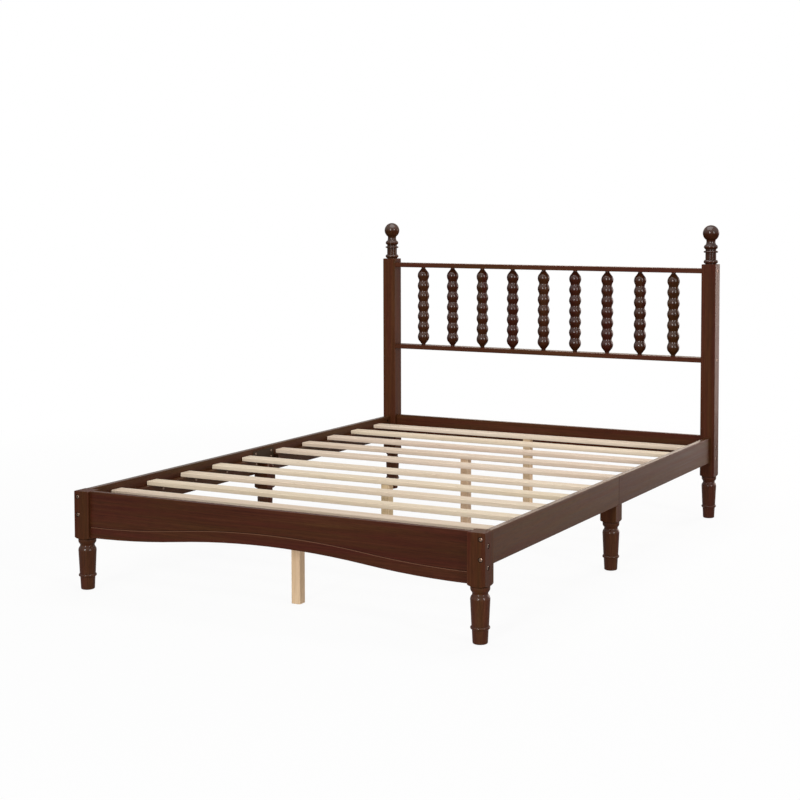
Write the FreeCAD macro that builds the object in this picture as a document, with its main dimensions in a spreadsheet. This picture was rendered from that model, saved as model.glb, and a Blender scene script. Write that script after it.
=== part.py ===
import FreeCAD, Part
import math
import os
import re
import Sketcher

from FreeCAD import Placement, Rotation, Vector

# Full-size platform bed: bobbin-turned spindle headboard, arched foot rail, two-part side rails
# on a notched middle leg, loose slats on ledgers and square support legs down the centre line.
# X runs across the bed, +Y points to the head, +Z up. The origin is on the floor, mid-bounds.
# Places along Y are given from the middle of the rails, which bed_shift moves to the origin's frame.

SPINDLES = 9
BEADS = 7
SLATS_PER_HALF = 5
SUPPORTED_SLATS = (1, 4, 7, 10)
SIDES = {"left": -1, "right": 1}
HALVES = {"front": -1, "rear": 1}

# How closely an edge has to match a test, in millimetres.
TOLERANCE = 0.01

# Driving dimensions in millimetres. Every "width" of a turned form is a diameter.
SIZES = {
    # Mattress space
    "inner_width": 1380,
    "inner_length": 1956,
    "deck_drop": 20,
    # Posts
    "post_side": 56,
    "post_round": 2.5,
    "frame_height": 312,
    "head_post_height": 975,
    "foot_reveal": 4,
    "head_reveal": 15,
    # Side rails
    "rail_thickness": 20,
    "side_rail_height": 95,
    "rail_round": 2,
    "rail_joint_round": 1.5,
    # Foot rail
    "foot_rail_thickness": 20,
    "foot_rail_setback": 11,
    "foot_rail_height": 146,
    "arch_rise": 37.5,
    "scored_line_height": 34,
    "scored_line_width": 4.4,
    "scored_line_depth": 1.7,
    "scored_line_slope": 45,
    # Headboard rails
    "headboard_rail_height": 18,
    "headboard_rail_depth": 52,
    "headboard_rail_setback": 4,
    "top_rail_drop": 17,
    "bottom_rail_thickness": 20,
    "bottom_rail_height": 95,
    "bottom_rail_rise": 4,
    # Spindles
    "spindle_post_space": 121,
    "spindle_length": 324,
    "bead_pitch": 42.7,
    "bead_width": 48,
    "waist_width": 37,
    "waist_length": 15,
    "spindle_neck_width": 17,
    "spindle_neck_length": 4.5,
    "tenon_width": 13,
    "tenon_length": 11,
    "tenon_clearance": 0.4,
    "tenon_end_gap": 1,
    # Turned feet, heights from the floor
    "foot_base_width": 43,
    "foot_width": 46.5,
    "foot_round": 4,
    "ring_width": 55.6,
    "ring_centre": 45,
    "ring_height": 9.5,
    "ankle_width": 49,
    "vase_width": 55.6,
    "vase_centre": 121,
    "shoulder_radius": 18,
    "cove_base": 134,
    "cove_height": 11.5,
    "cove_edge_width": 49.5,
    "cove_width": 44.5,
    "collar_width": 55.6,
    "collar_flare": 9,
    "collar_radius": 14,
    "collar_band": 4.5,
    "groove_width": 51,
    "groove_height": 2,
    "pommel_height": 6.5,
    "pommel_radius": 18,
    # Finials, heights from the post's top
    "finial_foot_height": 2,
    "base_ring_height": 15,
    "finial_ring_width": 54.5,
    "finial_neck_width": 41,
    "finial_neck_height": 27,
    "thin_ring_height": 7,
    "thin_ring_edge": 2.5,
    "notch_height": 6.5,
    "flare_height": 17,
    "flare_radius": 9,
    "upper_neck_width": 36,
    "upper_neck_radius": 24,
    "ball_width": 62,
    "ball_centre": 118,
    "peg_width": 18,
    "peg_length": 18,
    "peg_clearance": 0.4,
    "peg_end_gap": 2,
    # Rail joint plates inside the middle of each side
    "joint_plate_length": 132,
    "joint_plate_height": 40,
    "joint_plate_thickness": 3,
    "joint_plate_drop": 10,
    "joint_plate_round": 6,
    "joint_plate_gap": 4,
    "plate_hole_width": 5.5,
    "plate_hole_spread": 100,
    "plate_hole_rise": 22,
    # Slats, ledgers and support legs
    "slat_width": 52,
    "slat_thickness": 14,
    "slat_post_space": 119.5,
    "slat_middle_pitch": 218,
    "slat_end_gap": 1.5,
    "slat_round": 2.5,
    "ledger_thickness": 22,
    "ledger_height": 36,
    "ledger_round": 1.5,
    "ledger_post_gap": 3,
    "ledger_middle_gap": 68,
    "support_side": 30,
    "support_round": 2,
    # Bolts and nuts
    "bolt_width": 6,
    "bolt_clearance": 1,
    "bolt_head_width": 13,
    "bolt_head_height": 5,
    "bolt_recess": 7,
    "bolt_recess_clearance": 2,
    "bolt_reach": 32,
    "bolt_end_gap": 2,
    "nut_width": 10,
    "nut_length": 12,
    "nut_clearance": 0.4,
    "nut_thread_clearance": 0.3,
    "nut_end_gap": 0.5,
    "nut_set_in": 25,
    "side_bolt_high_drop": 18,
    "side_bolt_low_drop": 74,
    "foot_bolt_high_drop": 38,
    "foot_bolt_low_drop": 98,
    "bottom_bolt_high_drop": 44,
    "bottom_bolt_low_drop": 88,
    "mid_bolt_spread": 30,
    "mid_bolt_low_rise": 12,
    "mid_bolt_high_rise": 30,
}

# Places and sizes that follow from the driving dimensions.
PLACES = {
    "rail_inner": "inner_width / 2",
    "rail_middle": "rail_inner + rail_thickness / 2",
    "rail_outer": "rail_inner + rail_thickness",
    "foot_post_x": "rail_outer + foot_reveal - post_side / 2",
    "head_post_x": "rail_outer + head_reveal - post_side / 2",
    "mid_leg_x": "rail_outer - post_side / 2",
    "foot_rail_rear": "foot_rail_setback + foot_rail_thickness",
    "bed_length": "foot_rail_rear + inner_length + (bottom_rail_thickness + post_side) / 2",
    "post_y": "(bed_length - post_side) / 2",
    "post_face_y": "post_y - post_side / 2",
    "bed_shift": "(ball_width - post_side) / 4",
    "corner_reach": "post_side * sqrt(2) / 2",
    "rail_base": "frame_height - side_rail_height",
    "foot_rail_span": "2 * foot_post_x - post_side",
    "foot_rail_base": "frame_height - foot_rail_height",
    "foot_rail_from_post": "foot_rail_setback + (foot_rail_thickness - post_side) / 2",
    "arch_radius": "((foot_rail_span / 4)^2 + (arch_rise / 2)^2) / arch_rise",
    "head_span": "2 * head_post_x - post_side",
    "headboard_rail_from_post": "headboard_rail_setback + (headboard_rail_depth - post_side) / 2",
    "top_rail_base": "head_post_height - top_rail_drop - headboard_rail_height",
    "spindle_base": "top_rail_base - spindle_length",
    "spindle_rail_base": "spindle_base - headboard_rail_height",
    "bottom_rail_top": "frame_height + bottom_rail_rise",
    "bottom_rail_base": "bottom_rail_top - bottom_rail_height",
    "mortise_width": "tenon_width + tenon_clearance",
    "mortise_depth": "tenon_length + tenon_end_gap",
    "spindle_pitch": f"(head_span - 2 * spindle_post_space) / {SPINDLES - 1}",
    "first_bead": f"(spindle_length - {BEADS - 1} * bead_pitch) / 2",
    "bead_length": "bead_pitch - waist_length",
    "bead_depth": "(bead_width - waist_width) / 2 * bead_length / bead_pitch",
    "bead_edge": "bead_width / 2 - bead_depth",
    "bead_radius": "((bead_length / 2)^2 + bead_depth^2) / (2 * bead_depth)",
    "waist_depth": "bead_edge - waist_width / 2",
    "waist_radius": "((waist_length / 2)^2 + waist_depth^2) / (2 * waist_depth)",
    "ring_chord": "sqrt(ring_height^2 + (ankle_width - foot_width)^2 / 4)",
    "ring_depth": "ring_width / 2 - (ankle_width + foot_width) / 4",
    "ring_radius": "((ring_chord / 2)^2 + ring_depth^2) / (2 * ring_depth)",
    "cove_top": "cove_base + cove_height",
    "cove_depth": "(cove_edge_width - cove_width) / 2",
    "cove_radius": "((cove_height / 2)^2 + cove_depth^2) / (2 * cove_depth)",
    "collar_edge": "cove_top + collar_flare",
    "collar_top": "collar_edge + collar_band",
    "pommel_base": "collar_top + groove_height",
    "square_base": "pommel_base + pommel_height",
    "base_ring_top": "finial_foot_height + base_ring_height",
    "finial_neck_top": "base_ring_top + finial_neck_height",
    "thin_ring_top": "finial_neck_top + thin_ring_height",
    "notch_top": "thin_ring_top + notch_height",
    "flare_top": "notch_top + flare_height",
    "finial_ring_depth": "(finial_ring_width - finial_neck_width) / 2",
    "base_ring_radius": "((base_ring_height / 2)^2 + finial_ring_depth^2) / (2 * finial_ring_depth)",
    "thin_ring_inner": "finial_ring_width / 2 - thin_ring_edge",
    "thin_ring_radius": "((thin_ring_height / 2)^2 + thin_ring_edge^2) / (2 * thin_ring_edge)",
    "ball_base": "ball_centre - sqrt(ball_width^2 - upper_neck_width^2) / 2",
    "joint_plate_base": "frame_height - joint_plate_drop - joint_plate_height",
    "mid_leg_height": "joint_plate_base - joint_plate_gap",
    "slat_base": "frame_height - deck_drop - slat_thickness",
    "slat_length": "inner_width - 2 * slat_end_gap",
    "slat_pitch": f"(post_face_y - slat_post_space - slat_middle_pitch / 2) / {SLATS_PER_HALF - 1}",
    "ledger_length": "post_face_y - ledger_post_gap - ledger_middle_gap",
    "ledger_middle": "ledger_middle_gap + ledger_length / 2",
    "bolt_hole": "bolt_width + bolt_clearance",
    "bolt_bore": "bolt_head_width + bolt_recess_clearance",
    "bolt_length": "post_side - bolt_recess + bolt_reach",
    "bolt_depth": "bolt_reach + bolt_end_gap",
    "nut_hole": "nut_width + nut_clearance",
    "nut_thread": "bolt_width + nut_thread_clearance",
    "nut_overhang": "nut_length / 2 + nut_end_gap",
    "insert_depth": "nut_length + nut_end_gap",
    "mid_bolt_length": "post_side - rail_thickness - bolt_recess + nut_length",
    "side_bolt_high": "frame_height - side_bolt_high_drop",
    "side_bolt_low": "frame_height - side_bolt_low_drop",
    "foot_bolt_high": "frame_height - foot_bolt_high_drop",
    "foot_bolt_low": "frame_height - foot_bolt_low_drop",
    "bottom_bolt_high": "bottom_rail_top - bottom_bolt_high_drop",
    "bottom_bolt_low": "bottom_rail_top - bottom_bolt_low_drop",
    "top_rail_bolt": "top_rail_base + headboard_rail_height / 2",
    "spindle_rail_bolt": "spindle_rail_base + headboard_rail_height / 2",
    "mid_bolt_low": "rail_base + mid_bolt_low_rise",
    "mid_bolt_high": "rail_base + mid_bolt_high_rise",
}

SIDE_BOLTS = ("side_bolt_high", "side_bolt_low")
FOOT_BOLTS = ("foot_bolt_high", "foot_bolt_low")
BOTTOM_BOLTS = ("bottom_bolt_high", "bottom_bolt_low")
THIN_RAIL_BOLTS = ("top_rail_bolt", "spindle_rail_bolt")
MID_BOLTS = ("mid_bolt_high", "mid_bolt_low")

doc = FreeCAD.newDocument("PlatformBed")
sheet = doc.addObject("Spreadsheet::Sheet", "Sizes")
for row, (alias, size) in enumerate(SIZES.items(), start=1):
    sheet.set(f"A{row}", alias)
    sheet.set(f"B{row}", str(size))
    sheet.setAlias(f"B{row}", alias)
doc.recompute()

nodes = []


def formula(text):
    """Spell a formula of named sizes and places out as references to the sheet's cells."""
    def spell(match):
        word = match[0]
        if word in SIZES:
            return f"Sizes.{word}"
        if word in PLACES:
            return f"({formula(PLACES[word])})"
        return word
    return re.sub(r"[a-z_]+", spell, text)


def number(text):
    """The present value of a formula."""
    return float(sheet.evalExpression(formula(text)))


def put(item, x, y, z):
    """Bind an item's place to the sheet, with y given from the middle of the rails."""
    for axis, place in zip("xyz", (x, f"{y} - bed_shift", z)):
        item.setExpression(f"Placement.Base.{axis}", formula(place))


def new_body(label, x="0", y="0", z="0"):
    body = doc.addObject("PartDesign::Body", label)
    put(body, x, y, z)
    return body


def new_sketch(body, name, plane, offset="0"):
    """A sketch on one of the body's own origin planes, moved along the plane's normal."""
    sketch = body.newObject("Sketcher::SketchObject", name)
    support = next(each for each in body.Origin.OriginFeatures if each.Role == f"{plane}_Plane")
    sketch.AttachmentSupport = (support, "")
    sketch.MapMode = "FlatFace"
    sketch.setExpression("AttachmentOffset.Base.z", formula(offset))
    return sketch


def pin_point(geometry, end, x, y):
    """Constraints that hold one end of a sketch edge at x, y, with the formula of each."""
    pinned = []
    for kind, text, axis in (("DistanceX", x, -2), ("DistanceY", y, -1)):
        if text == "0":
            pinned.append((Sketcher.Constraint("PointOnObject", geometry, end, axis), None))
        else:
            pinned.append((Sketcher.Constraint(kind, -1, 1, geometry, end, number(text)), text))
    return pinned


def add_constraints(sketch, pairs):
    """Add (constraint, formula) pairs and bind each formula to the sheet."""
    indices = sketch.addConstraint([constraint for constraint, text in pairs])
    for index, (constraint, text) in zip(indices, pairs):
        if text is not None:
            sketch.setExpression(f"Constraints[{index}]", formula(text))


def arc_between(start, end, radius, bulge):
    """The lesser arc from start to end that bulges left of travel (1) or right of it (-1)."""
    chord = end - start
    left = Vector(-chord.y, chord.x, 0).normalize()
    rise = math.sqrt(radius ** 2 - (chord.Length / 2) ** 2)
    centre = (start + end) / 2 - left * bulge * rise
    ends = (end, start) if bulge > 0 else (start, end)
    angles = [math.atan2(point.y - centre.y, point.x - centre.x) for point in ends]
    return Part.ArcOfCircle(Part.Circle(centre, Vector(0, 0, 1), radius), *angles)


def draw_outline(sketch, corners):
    """Close an outline through corners: (x, y) starts a line, (x, y, radius, bulge) an arc."""
    points = [Vector(number(corner[0]), number(corner[1]), 0) for corner in corners]
    ends = []
    pairs = []
    for index, corner in enumerate(corners):
        start = points[index]
        end = points[(index + 1) % len(points)]
        if len(corner) == 2:
            sketch.addGeometry(Part.LineSegment(start, end))
            ends.append((1, 2))
        else:
            sketch.addGeometry(arc_between(start, end, number(corner[2]), corner[3]))
            ends.append((2, 1) if corner[3] > 0 else (1, 2))
            pairs.append((Sketcher.Constraint("Radius", index, number(corner[2])), corner[2]))
    for index, corner in enumerate(corners):
        last = index - 1 if index else len(corners) - 1
        joint = Sketcher.Constraint("Coincident", last, ends[last][1], index, ends[index][0])
        pairs.append((joint, None))
        pairs += pin_point(index, ends[index][0], corner[0], corner[1])
    add_constraints(sketch, pairs)


def rectangle(width, depth):
    """Corners of a rectangle about the sketch's origin."""
    across = (f"-({width}) / 2", f"({width}) / 2")
    along = (f"-({depth}) / 2", f"({depth}) / 2")
    return [
        (across[0], along[0]),
        (across[1], along[0]),
        (across[1], along[1]),
        (across[0], along[1]),
    ]


def pad(body, sketch, length):
    feature = body.newObject("PartDesign::Pad", "blank")
    feature.Profile = sketch
    feature.setExpression("Length", formula(length))


def pocket(body, name, sketch, depth, slope="0"):
    """Cut a sketch to a depth, with walls that slope inwards by an angle in degrees."""
    feature = body.newObject("PartDesign::Pocket", name)
    feature.Profile = sketch
    feature.setExpression("Length", formula(depth))
    feature.setExpression("TaperAngle", formula(f"-{slope}"))


def turn(body, name, corners, kind="Revolution"):
    """Turn an outline of (radius, height) corners about the body's Z axis, adding or cutting."""
    sketch = new_sketch(body, f"{name}_outline", "XZ")
    draw_outline(sketch, corners)
    feature = body.newObject(f"PartDesign::{kind}", name)
    feature.Profile = sketch
    feature.ReferenceAxis = (sketch, ["V_Axis"])
    feature.Angle = 360


def round_edges(body, radius, wanted):
    """Fillet the edges of the body so far that the test picks."""
    doc.recompute()
    base = body.Tip
    names = [f"Edge{index}" for index, edge in enumerate(base.Shape.Edges, start=1) if wanted(edge)]
    feature = body.newObject("PartDesign::Fillet", "rounded_edges")
    feature.Base = (base, names)
    feature.setExpression("Radius", formula(radius))


def runs_along(axis):
    """A test for edges that are straight along one axis."""
    def wanted(edge):
        direction = edge.Vertexes[-1].Point - edge.Vertexes[0].Point
        return abs(getattr(direction, axis)) > edge.Length - TOLERANCE
    return wanted


def lies_across(axis, place):
    """A test for edges that lie in one plane across an axis."""
    def wanted(edge):
        limits = (getattr(edge.BoundBox, f"{axis.upper()}{end}") for end in ("Min", "Max"))
        return all(abs(limit - place) < TOLERANCE for limit in limits)
    return wanted


def drill(body, name, plane, offset, centres, width, depth=None, bore=None, reverse=False):
    """Drill round holes from a plane, through all or to a depth, with an optional (width, depth) bore."""
    sketch = new_sketch(body, f"{name}_centres", plane, offset)
    pairs = []
    for index, (x, y) in enumerate(centres):
        centre = Vector(number(x), number(y), 0)
        sketch.addGeometry(Part.Circle(centre, Vector(0, 0, 1), number(width) / 2))
        pairs.append((Sketcher.Constraint("Diameter", index, number(width)), width))
        pairs += pin_point(index, 3, x, y)
    add_constraints(sketch, pairs)
    doc.recompute()
    hole = body.newObject("PartDesign::Hole", name)
    hole.Profile = sketch
    doc.recompute()
    hole.ThreadType = "None"
    hole.DrillPoint = "Flat"
    hole.Reversed = reverse
    hole.setExpression("Diameter", formula(width))
    if depth is None:
        hole.DepthType = "ThroughAll"
    else:
        hole.DepthType = "Dimension"
        hole.setExpression("Depth", formula(depth))
    if bore is not None:
        hole.HoleCutType = "Counterbore"
        hole.HoleCutCustomValues = True
        hole.setExpression("HoleCutDiameter", formula(bore[0]))
        hole.setExpression("HoleCutDepth", formula(bore[1]))


def drill_ends(body, span, centres):
    """Bolt holes into both X ends of a rail whose own origin is at its middle."""
    for side, sign in SIDES.items():
        drill(body, f"{side}_bolt_holes", "YZ", f"{sign} * ({span}) / 2", centres,
              "bolt_hole", "bolt_depth", reverse=sign < 0)


def finish(body):
    nodes.append(body)
    return body


def board(label, place, size, grain, rounding):
    """A plain board on its lower face's centre, its edges along the grain eased."""
    body = new_body(label, *place)
    section = new_sketch(body, "section", "XY")
    draw_outline(section, rectangle(size[0], size[1]))
    pad(body, section, size[2])
    round_edges(body, rounding, runs_along(grain))
    return body


def foot_outline():
    """What the lathe takes off a square blank to leave the turned foot below its pommel."""
    return [
        ("foot_base_width / 2 - foot_round", "0", "foot_round", -1),
        ("foot_base_width / 2", "foot_round"),
        ("foot_width / 2", "ring_centre - ring_height / 2", "ring_radius", -1),
        ("ankle_width / 2", "ring_centre + ring_height / 2"),
        ("vase_width / 2", "vase_centre", "shoulder_radius", -1),
        ("cove_edge_width / 2", "cove_base", "cove_radius", 1),
        ("cove_edge_width / 2", "cove_top", "collar_radius", -1),
        ("collar_width / 2", "collar_edge"),
        ("collar_width / 2", "collar_top"),
        ("groove_width / 2", "pommel_base", "pommel_radius", -1),
        ("corner_reach", "square_base"),
        ("corner_reach", "0"),
    ]


def post_blank(label, x, y, height):
    """A square post with eased edges and a foot turned from the same blank."""
    body = new_body(label, x, y)
    section = new_sketch(body, "section", "XY")
    draw_outline(section, rectangle("post_side", "post_side"))
    pad(body, section, height)
    top = number(height)
    round_edges(body, "post_round", lambda edge: edge.BoundBox.ZMax > top - TOLERANCE)
    turn(body, "turned_foot", foot_outline(), "Groove")
    return body


def bolt_from_face(body, name, plane, offset, centres, reverse=False):
    """Bolt holes through the body with a recess for the head."""
    drill(body, name, plane, offset, centres, "bolt_hole", bore=("bolt_bore", "bolt_recess"),
          reverse=reverse)


def make_foot_post(side, sign):
    body = post_blank(f"foot_post_{side}", f"{sign} * foot_post_x", "-post_y", "frame_height")
    rail_x = f"{sign} * (rail_middle - foot_post_x)"
    bolt_from_face(body, "side_rail_bolt_holes", "XZ", "post_side / 2", [(rail_x, z) for z in SIDE_BOLTS])
    bolt_from_face(body, "foot_rail_bolt_holes", "YZ", f"{sign} * post_side / 2",
                   [("foot_rail_from_post", z) for z in FOOT_BOLTS], reverse=sign < 0)
    return finish(body)


def make_headboard_post(side, sign):
    body = post_blank(f"headboard_post_{side}", f"{sign} * head_post_x", "post_y", "head_post_height")
    rail_x = f"{sign} * (rail_middle - head_post_x)"
    bolt_from_face(body, "side_rail_bolt_holes", "XZ", "-post_side / 2",
                   [(rail_x, z) for z in SIDE_BOLTS], reverse=True)
    centres = [("headboard_rail_from_post", z) for z in THIN_RAIL_BOLTS]
    centres += [("0", z) for z in BOTTOM_BOLTS]
    bolt_from_face(body, "headboard_bolt_holes", "YZ", f"{sign} * post_side / 2", centres, reverse=sign < 0)
    drill(body, "finial_socket", "XY", "head_post_height", [("0", "0")],
          "peg_width + peg_clearance", "peg_length + peg_end_gap")
    return finish(body)


def make_finial(side, sign):
    body = new_body(f"finial_{side}", f"{sign} * head_post_x", "post_y", "head_post_height")
    neck = "finial_neck_width / 2"
    corners = [
        ("0", "-peg_length"),
        ("peg_width / 2", "-peg_length"),
        ("peg_width / 2", "0"),
        (neck, "0"),
        (neck, "finial_foot_height", "base_ring_radius", -1),
        (neck, "base_ring_top"),
        (neck, "finial_neck_top"),
        ("thin_ring_inner", "finial_neck_top", "thin_ring_radius", -1),
        ("thin_ring_inner", "thin_ring_top"),
        (neck, "thin_ring_top"),
        (neck, "notch_top", "flare_radius", -1),
        (neck, "flare_top", "upper_neck_radius", 1),
        ("upper_neck_width / 2", "ball_base", "ball_width / 2", -1),
        ("0", "ball_centre + ball_width / 2"),
    ]
    turn(body, "turned_finial", corners)
    return finish(body)


def spindle_outline():
    """Tenon, neck and cone, a row of beads with hollow waists between, and the same end mirrored."""
    neck = "spindle_neck_width / 2"
    tenon = "tenon_width / 2"
    corners = [
        ("0", "-tenon_length"),
        (tenon, "-tenon_length"),
        (tenon, "0"),
        (neck, "0"),
        (neck, "spindle_neck_length"),
    ]
    for index in range(BEADS):
        crest = f"first_bead + {index} * bead_pitch"
        corners.append(("bead_edge", f"{crest} - bead_length / 2", "bead_radius", -1))
        corners.append(("bead_edge", f"{crest} + bead_length / 2", "waist_radius", 1))
    corners[-1] = corners[-1][:2]
    corners += [
        (neck, "spindle_length - spindle_neck_length"),
        (neck, "spindle_length"),
        (tenon, "spindle_length"),
        (tenon, "spindle_length + tenon_length"),
        ("0", "spindle_length + tenon_length"),
    ]
    return corners


def spindle_x(index):
    return f"{index - (SPINDLES - 1) / 2} * spindle_pitch"


def make_spindle(index):
    body = new_body(f"spindle_{index + 1}", spindle_x(index), "post_y + headboard_rail_from_post",
                    "spindle_base")
    turn(body, "turned_beads", spindle_outline())
    return finish(body)


def make_thin_rail(label, base, mortise_plane):
    """A thin deep rail with spindle mortises, bolted through the posts at both ends."""
    size = ("head_span", "headboard_rail_depth", "headboard_rail_height")
    place = ("0", "post_y + headboard_rail_from_post", base)
    body = board(label, place, size, "x", "rail_round")
    drill(body, "mortises", "XY", mortise_plane, [(spindle_x(index), "0") for index in range(SPINDLES)],
          "mortise_width", "mortise_depth", reverse=mortise_plane == "0")
    drill_ends(body, "head_span", [("0", "headboard_rail_height / 2")])
    nut_x = "(head_span / 2 - nut_set_in)"
    drill(body, "nut_holes", "XY", "0", [(f"-{nut_x}", "0"), (nut_x, "0")], "nut_hole",
          "headboard_rail_height / 2 + nut_overhang", reverse=True)
    return finish(body)


def make_headboard_bottom_rail():
    size = ("head_span", "bottom_rail_thickness", "bottom_rail_height")
    body = board("headboard_bottom_rail", ("0", "post_y", "bottom_rail_base"), size, "x", "rail_round")
    heights = [f"{z} - bottom_rail_base" for z in BOTTOM_BOLTS]
    drill_ends(body, "head_span", [("0", z) for z in heights])
    nut_x = "(head_span / 2 - nut_set_in)"
    centres = [(x, z) for x in (f"-{nut_x}", nut_x) for z in heights]
    drill(body, "nut_holes", "XZ", "-bottom_rail_thickness / 2", centres, "nut_hole",
          "bottom_rail_thickness / 2 + nut_overhang", reverse=True)
    return finish(body)


def arch_curve(height):
    """Corners of the foot rail's lower edge from left to right, raised by a height."""
    quarter = "foot_rail_span / 4"
    low = height
    middle = f"{height} + arch_rise / 2"
    high = f"{height} + arch_rise"
    return [
        (f"-2 * {quarter}", low, "arch_radius", -1),
        (f"-{quarter}", middle, "arch_radius", 1),
        ("0", high, "arch_radius", 1),
        (quarter, middle, "arch_radius", -1),
        (f"2 * {quarter}", low),
    ]


def arch_back(height):
    """The same curve from right to left."""
    quarter = "foot_rail_span / 4"
    low = height
    middle = f"{height} + arch_rise / 2"
    high = f"{height} + arch_rise"
    return [
        (f"2 * {quarter}", low, "arch_radius", 1),
        (quarter, middle, "arch_radius", -1),
        ("0", high, "arch_radius", -1),
        (f"-{quarter}", middle, "arch_radius", 1),
        (f"-2 * {quarter}", low),
    ]


def make_foot_rail():
    """The arched front board, scored along its lower edge."""
    body = new_body("foot_rail", "0", "foot_rail_from_post - post_y", "foot_rail_base")
    outline = new_sketch(body, "outline", "XZ", "-foot_rail_thickness / 2")
    corners = arch_curve("0")
    corners += [("foot_rail_span / 2", "foot_rail_height"), ("-foot_rail_span / 2", "foot_rail_height")]
    draw_outline(outline, corners)
    pad(body, outline, "foot_rail_thickness")
    across = runs_along("y")
    upright = runs_along("z")
    round_edges(body, "rail_round", lambda edge: not across(edge) and not upright(edge))
    band = new_sketch(body, "scored_band", "XZ", "foot_rail_thickness / 2")
    lower = "scored_line_height - scored_line_width / 2"
    upper = "scored_line_height + scored_line_width / 2"
    draw_outline(band, arch_curve(lower) + arch_back(upper))
    pocket(body, "scored_line", band, "scored_line_depth", "scored_line_slope")
    heights = [f"{z} - foot_rail_base" for z in FOOT_BOLTS]
    drill_ends(body, "foot_rail_span", [("0", z) for z in heights])
    nut_x = "(foot_rail_span / 2 - nut_set_in)"
    centres = [(x, z) for x in (f"-{nut_x}", nut_x) for z in heights]
    drill(body, "nut_holes", "XZ", "-foot_rail_thickness / 2", centres, "nut_hole",
          "foot_rail_thickness / 2 + nut_overhang", reverse=True)
    return finish(body)


def make_side_rail(side, sign, half, way):
    """Half a side rail, from the middle joint to a post's face."""
    place = (f"{sign} * rail_middle", f"{way} * post_face_y / 2", "rail_base")
    size = ("rail_thickness", "post_face_y", "side_rail_height")
    body = board(f"side_rail_{side}_{half}", place, size, "y", "rail_round")
    round_edges(body, "rail_joint_round", lies_across("y", number(f"{-way} * post_face_y / 2")))
    heights = [f"{z} - rail_base" for z in SIDE_BOLTS]
    drill(body, "post_bolt_holes", "XZ", f"{-way} * post_face_y / 2", [("0", z) for z in heights],
          "bolt_hole", "bolt_depth", reverse=way > 0)
    inner_face = f"{-sign} * rail_thickness / 2"
    nut_y = f"{way} * (post_face_y / 2 - nut_set_in)"
    drill(body, "nut_holes", "YZ", inner_face, [(nut_y, z) for z in heights], "nut_hole",
          "rail_thickness / 2 + nut_overhang", reverse=sign > 0)
    insert_y = f"{way} * (mid_bolt_spread - post_face_y) / 2"
    inserts = [(insert_y, f"{z} - rail_base") for z in MID_BOLTS]
    drill(body, "insert_holes", "YZ", inner_face, inserts, "nut_hole", "insert_depth", reverse=sign > 0)
    return finish(body)


def make_mid_leg(side, sign):
    """A turned leg whose block is notched to carry both halves of a side rail."""
    body = post_blank(f"mid_leg_{side}", f"{sign} * mid_leg_x", "0", "mid_leg_height")
    notch = new_sketch(body, "notch_outline", "XZ", "post_side")
    inner = f"{sign} * (post_side / 2 - rail_thickness)"
    outer = f"{sign} * post_side"
    top = "mid_leg_height + post_round"
    draw_outline(notch, [(inner, "rail_base"), (outer, "rail_base"), (outer, top), (inner, top)])
    pocket(body, "rail_notch", notch, "2 * post_side")
    spread = "mid_bolt_spread / 2"
    centres = [(y, z) for y in (f"-{spread}", spread) for z in MID_BOLTS]
    bolt_from_face(body, "rail_bolt_holes", "YZ", f"{-sign} * post_side / 2", centres, reverse=sign > 0)
    return finish(body)


def make_joint_plate(side, sign):
    """A flat steel plate that ties the two halves of a side rail together on their inner faces."""
    middle = f"{sign} * (rail_inner - joint_plate_thickness / 2)"
    size = ("joint_plate_thickness", "joint_plate_length", "joint_plate_height")
    body = board(f"rail_joint_plate_{side}", (middle, "0", "joint_plate_base"), size, "x",
                 "joint_plate_round")
    spread = "plate_hole_spread / 2"
    heights = [f"(joint_plate_height {turn_way} plate_hole_rise) / 2" for turn_way in "+-"]
    centres = [(y, z) for y in (f"-{spread}", spread) for z in heights]
    drill(body, "screw_holes", "YZ", "joint_plate_thickness / 2", centres, "plate_hole_width")
    return finish(body)


def slat_y(slat):
    """Place of a slat, counted from the foot: two even groups about the rail joint."""
    if slat <= SLATS_PER_HALF:
        return f"-(slat_middle_pitch / 2 + {SLATS_PER_HALF - slat} * slat_pitch)"
    return f"slat_middle_pitch / 2 + {slat - SLATS_PER_HALF - 1} * slat_pitch"


def make_slat(slat):
    size = ("slat_length", "slat_width", "slat_thickness")
    return finish(board(f"slat_{slat}", ("0", slat_y(slat), "slat_base"), size, "x", "slat_round"))


def make_support_leg(count, slat):
    size = ("support_side", "support_side", "slat_base")
    place = ("0", slat_y(slat), "0")
    return finish(board(f"support_leg_{count}", place, size, "z", "support_round"))


def make_ledger(side, sign, half, way):
    place = (f"{sign} * (rail_inner - ledger_thickness / 2)", f"{way} * ledger_middle",
             "slat_base - ledger_height")
    size = ("ledger_thickness", "ledger_length", "ledger_height")
    return finish(board(f"slat_ledger_{side}_{half}", place, size, "y", "ledger_round"))


def bolt_pattern_piece(label, length):
    """A bolt that seats at its own origin and points along +Z."""
    body = new_body(label)
    turn(body, "turned_bolt", [
        ("0", "-bolt_head_height"),
        ("bolt_head_width / 2", "-bolt_head_height"),
        ("bolt_head_width / 2", "0"),
        ("bolt_width / 2", "0"),
        ("bolt_width / 2", length),
        ("0", length),
    ])
    return body


def nut_blank(label):
    """A plain round nut about its own middle, its axis along Z."""
    body = new_body(label)
    section = new_sketch(body, "section", "XY", "-nut_length / 2")
    section.addGeometry(Part.Circle(Vector(), Vector(0, 0, 1), number("nut_width") / 2))
    pairs = [(Sketcher.Constraint("Diameter", 0, number("nut_width")), "nut_width")]
    pairs += pin_point(0, 3, "0", "0")
    add_constraints(section, pairs)
    pad(body, section, "nut_length")
    return body


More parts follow.
